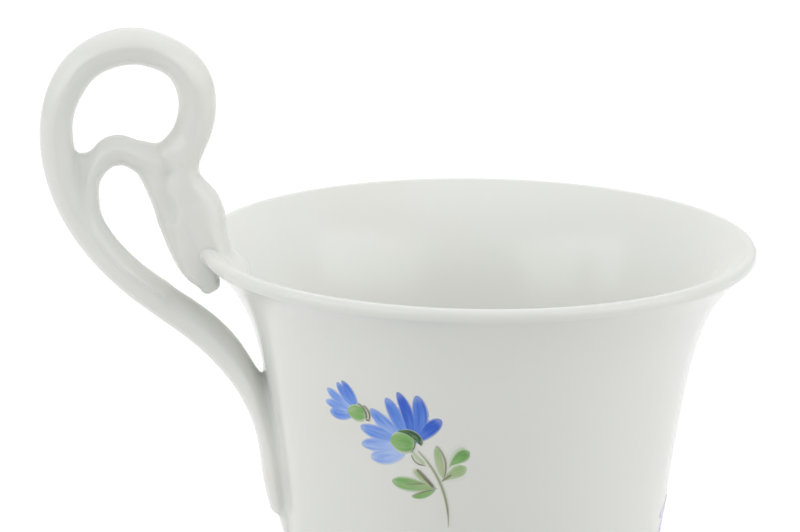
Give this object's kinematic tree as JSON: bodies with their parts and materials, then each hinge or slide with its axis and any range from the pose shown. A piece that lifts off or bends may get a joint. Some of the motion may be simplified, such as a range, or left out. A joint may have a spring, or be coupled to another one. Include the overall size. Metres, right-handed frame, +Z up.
{
  "type": "teacup",
  "caption": "Porcelain tea cup with a flared bell-shaped bowl, a small foot ring and a high loop handle braced by an inner scroll and seated astride the rim.",
  "frame": {"origin": "middle of the whole cup's outline in plan, on the surface that the foot ring stands on", "axes": "+Z up along the bowl's axis, +X along the length of the cup away from the handle, +Y to complete a right-handed frame"},
  "size_m": [0.1155, 0.09, 0.1009],
  "materials": {
    "glazed_porcelain": "clear glossy glaze over white porcelain, with a painted flower sprig",
    "foot_porcelain": "glazed sides with a wiped, unglazed standing edge",
    "luting_slip": "fired joining slip, under the glaze"
  },
  "bodies": {
    "root": {"bowl": "glazed_porcelain", "handle_strap": "glazed_porcelain", "handle_scroll": "glazed_porcelain", "rim_leaf": "glazed_porcelain", "foot_ring": "foot_porcelain", "foot_slip": "luting_slip", "strap_slip": "luting_slip", "neck_slip": "luting_slip", "rim_slip": "luting_slip", "scroll_root_slip": "luting_slip", "scroll_tip_slip": "luting_slip"}
  },
  "joints": []
}
